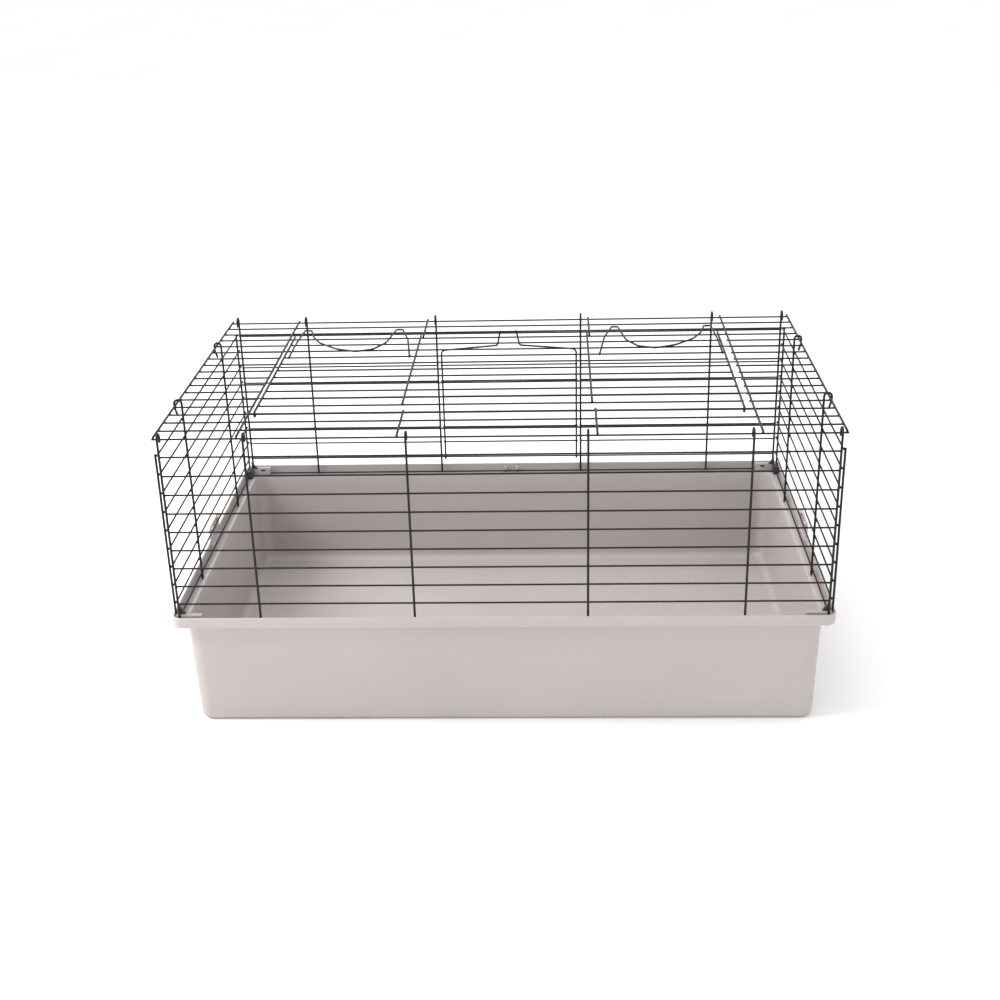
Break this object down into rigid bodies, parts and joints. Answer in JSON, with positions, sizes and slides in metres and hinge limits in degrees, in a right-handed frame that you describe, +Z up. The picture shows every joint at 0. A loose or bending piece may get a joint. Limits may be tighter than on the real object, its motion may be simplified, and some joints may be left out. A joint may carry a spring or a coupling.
{
  "type": "rabbit hutch",
  "caption": "Indoor rabbit hutch: deep plastic tub with a lift-off wire top, hinged roof door with sprung latch wires, small back door and side clips.",
  "frame": {"origin": "centre of the tub's flat underside", "axes": "+X along the hutch's length to the right, +Y to the back, +Z up; the front panel faces -Y"},
  "size_m": [1.0048, 0.607, 0.487],
  "materials": {
    "tub_plastic": "satin beige moulded plastic",
    "clip_plastic": "satin beige moulded plastic",
    "bracket_plastic": "satin grey plastic",
    "coated_wire": "dark grey powder-coated steel wire",
    "pin_steel": "bright steel"
  },
  "bodies": {
    "tub": {"tub": "tub_plastic", "clip_pin_left": "pin_steel", "clip_pin_right": "pin_steel"},
    "wire_top": {"roof_bars": "coated_wire", "roof_cross_wires": "coated_wire", "front_bars": "coated_wire", "front_uprights": "coated_wire", "back_bars": "coated_wire", "back_uprights": "coated_wire", "left_bars": "coated_wire", "left_uprights": "coated_wire", "right_bars": "coated_wire", "right_uprights": "coated_wire", "bracket_front_left": "bracket_plastic", "bracket_front_right": "bracket_plastic", "bracket_back_left": "bracket_plastic", "bracket_back_right": "bracket_plastic"},
    "roof_door": {"roof_door_bars": "coated_wire", "roof_door_frame": "coated_wire"},
    "roof_latch_left": {"roof_latch_left": "coated_wire"},
    "roof_latch_right": {"roof_latch_right": "coated_wire"},
    "back_door": {"back_door_bars": "coated_wire", "back_door_frame": "coated_wire"},
    "side_clip_left": {"side_clip_left": "clip_plastic"},
    "side_clip_right": {"side_clip_right": "clip_plastic"}
  },
  "joints": [
    {"name": "wire_top_lift", "type": "slide", "parent": "tub", "child": "wire_top", "axis": [0, 0, 1], "range_m": [0, 0.3]},
    {"name": "roof_door_hinge", "type": "hinge", "parent": "wire_top", "child": "roof_door", "pos_m": [0, -0.18441, 0.476], "axis": [1, 0, 0], "range_deg": [0, 160]},
    {"name": "roof_latch_left_flex", "type": "hinge", "parent": "roof_door", "child": "roof_latch_left", "pos_m": [-0.2584, 0.08382, 0.47635], "axis": [1, 0, 0], "range_deg": [0, 8], "stiffness_Nm_per_rad": 0.5, "springref_deg": -6.88},
    {"name": "roof_latch_right_flex", "type": "hinge", "parent": "roof_door", "child": "roof_latch_right", "pos_m": [0.2584, 0.08382, 0.47635], "axis": [1, 0, 0], "range_deg": [0, 8], "stiffness_Nm_per_rad": 0.5, "springref_deg": -6.88},
    {"name": "back_door_hinge", "type": "hinge", "parent": "wire_top", "child": "back_door", "pos_m": [0, 0.2911, 0.2105], "axis": [-1, 0, 0], "range_deg": [0, 100]},
    {"name": "side_clip_left_hinge", "type": "hinge", "parent": "tub", "child": "side_clip_left", "pos_m": [-0.499, 0, 0.1834], "axis": [0, -1, 0], "range_deg": [0, 120]},
    {"name": "side_clip_right_hinge", "type": "hinge", "parent": "tub", "child": "side_clip_right", "pos_m": [0.499, 0, 0.1834], "axis": [0, 1, 0], "range_deg": [0, 120]}
  ]
}
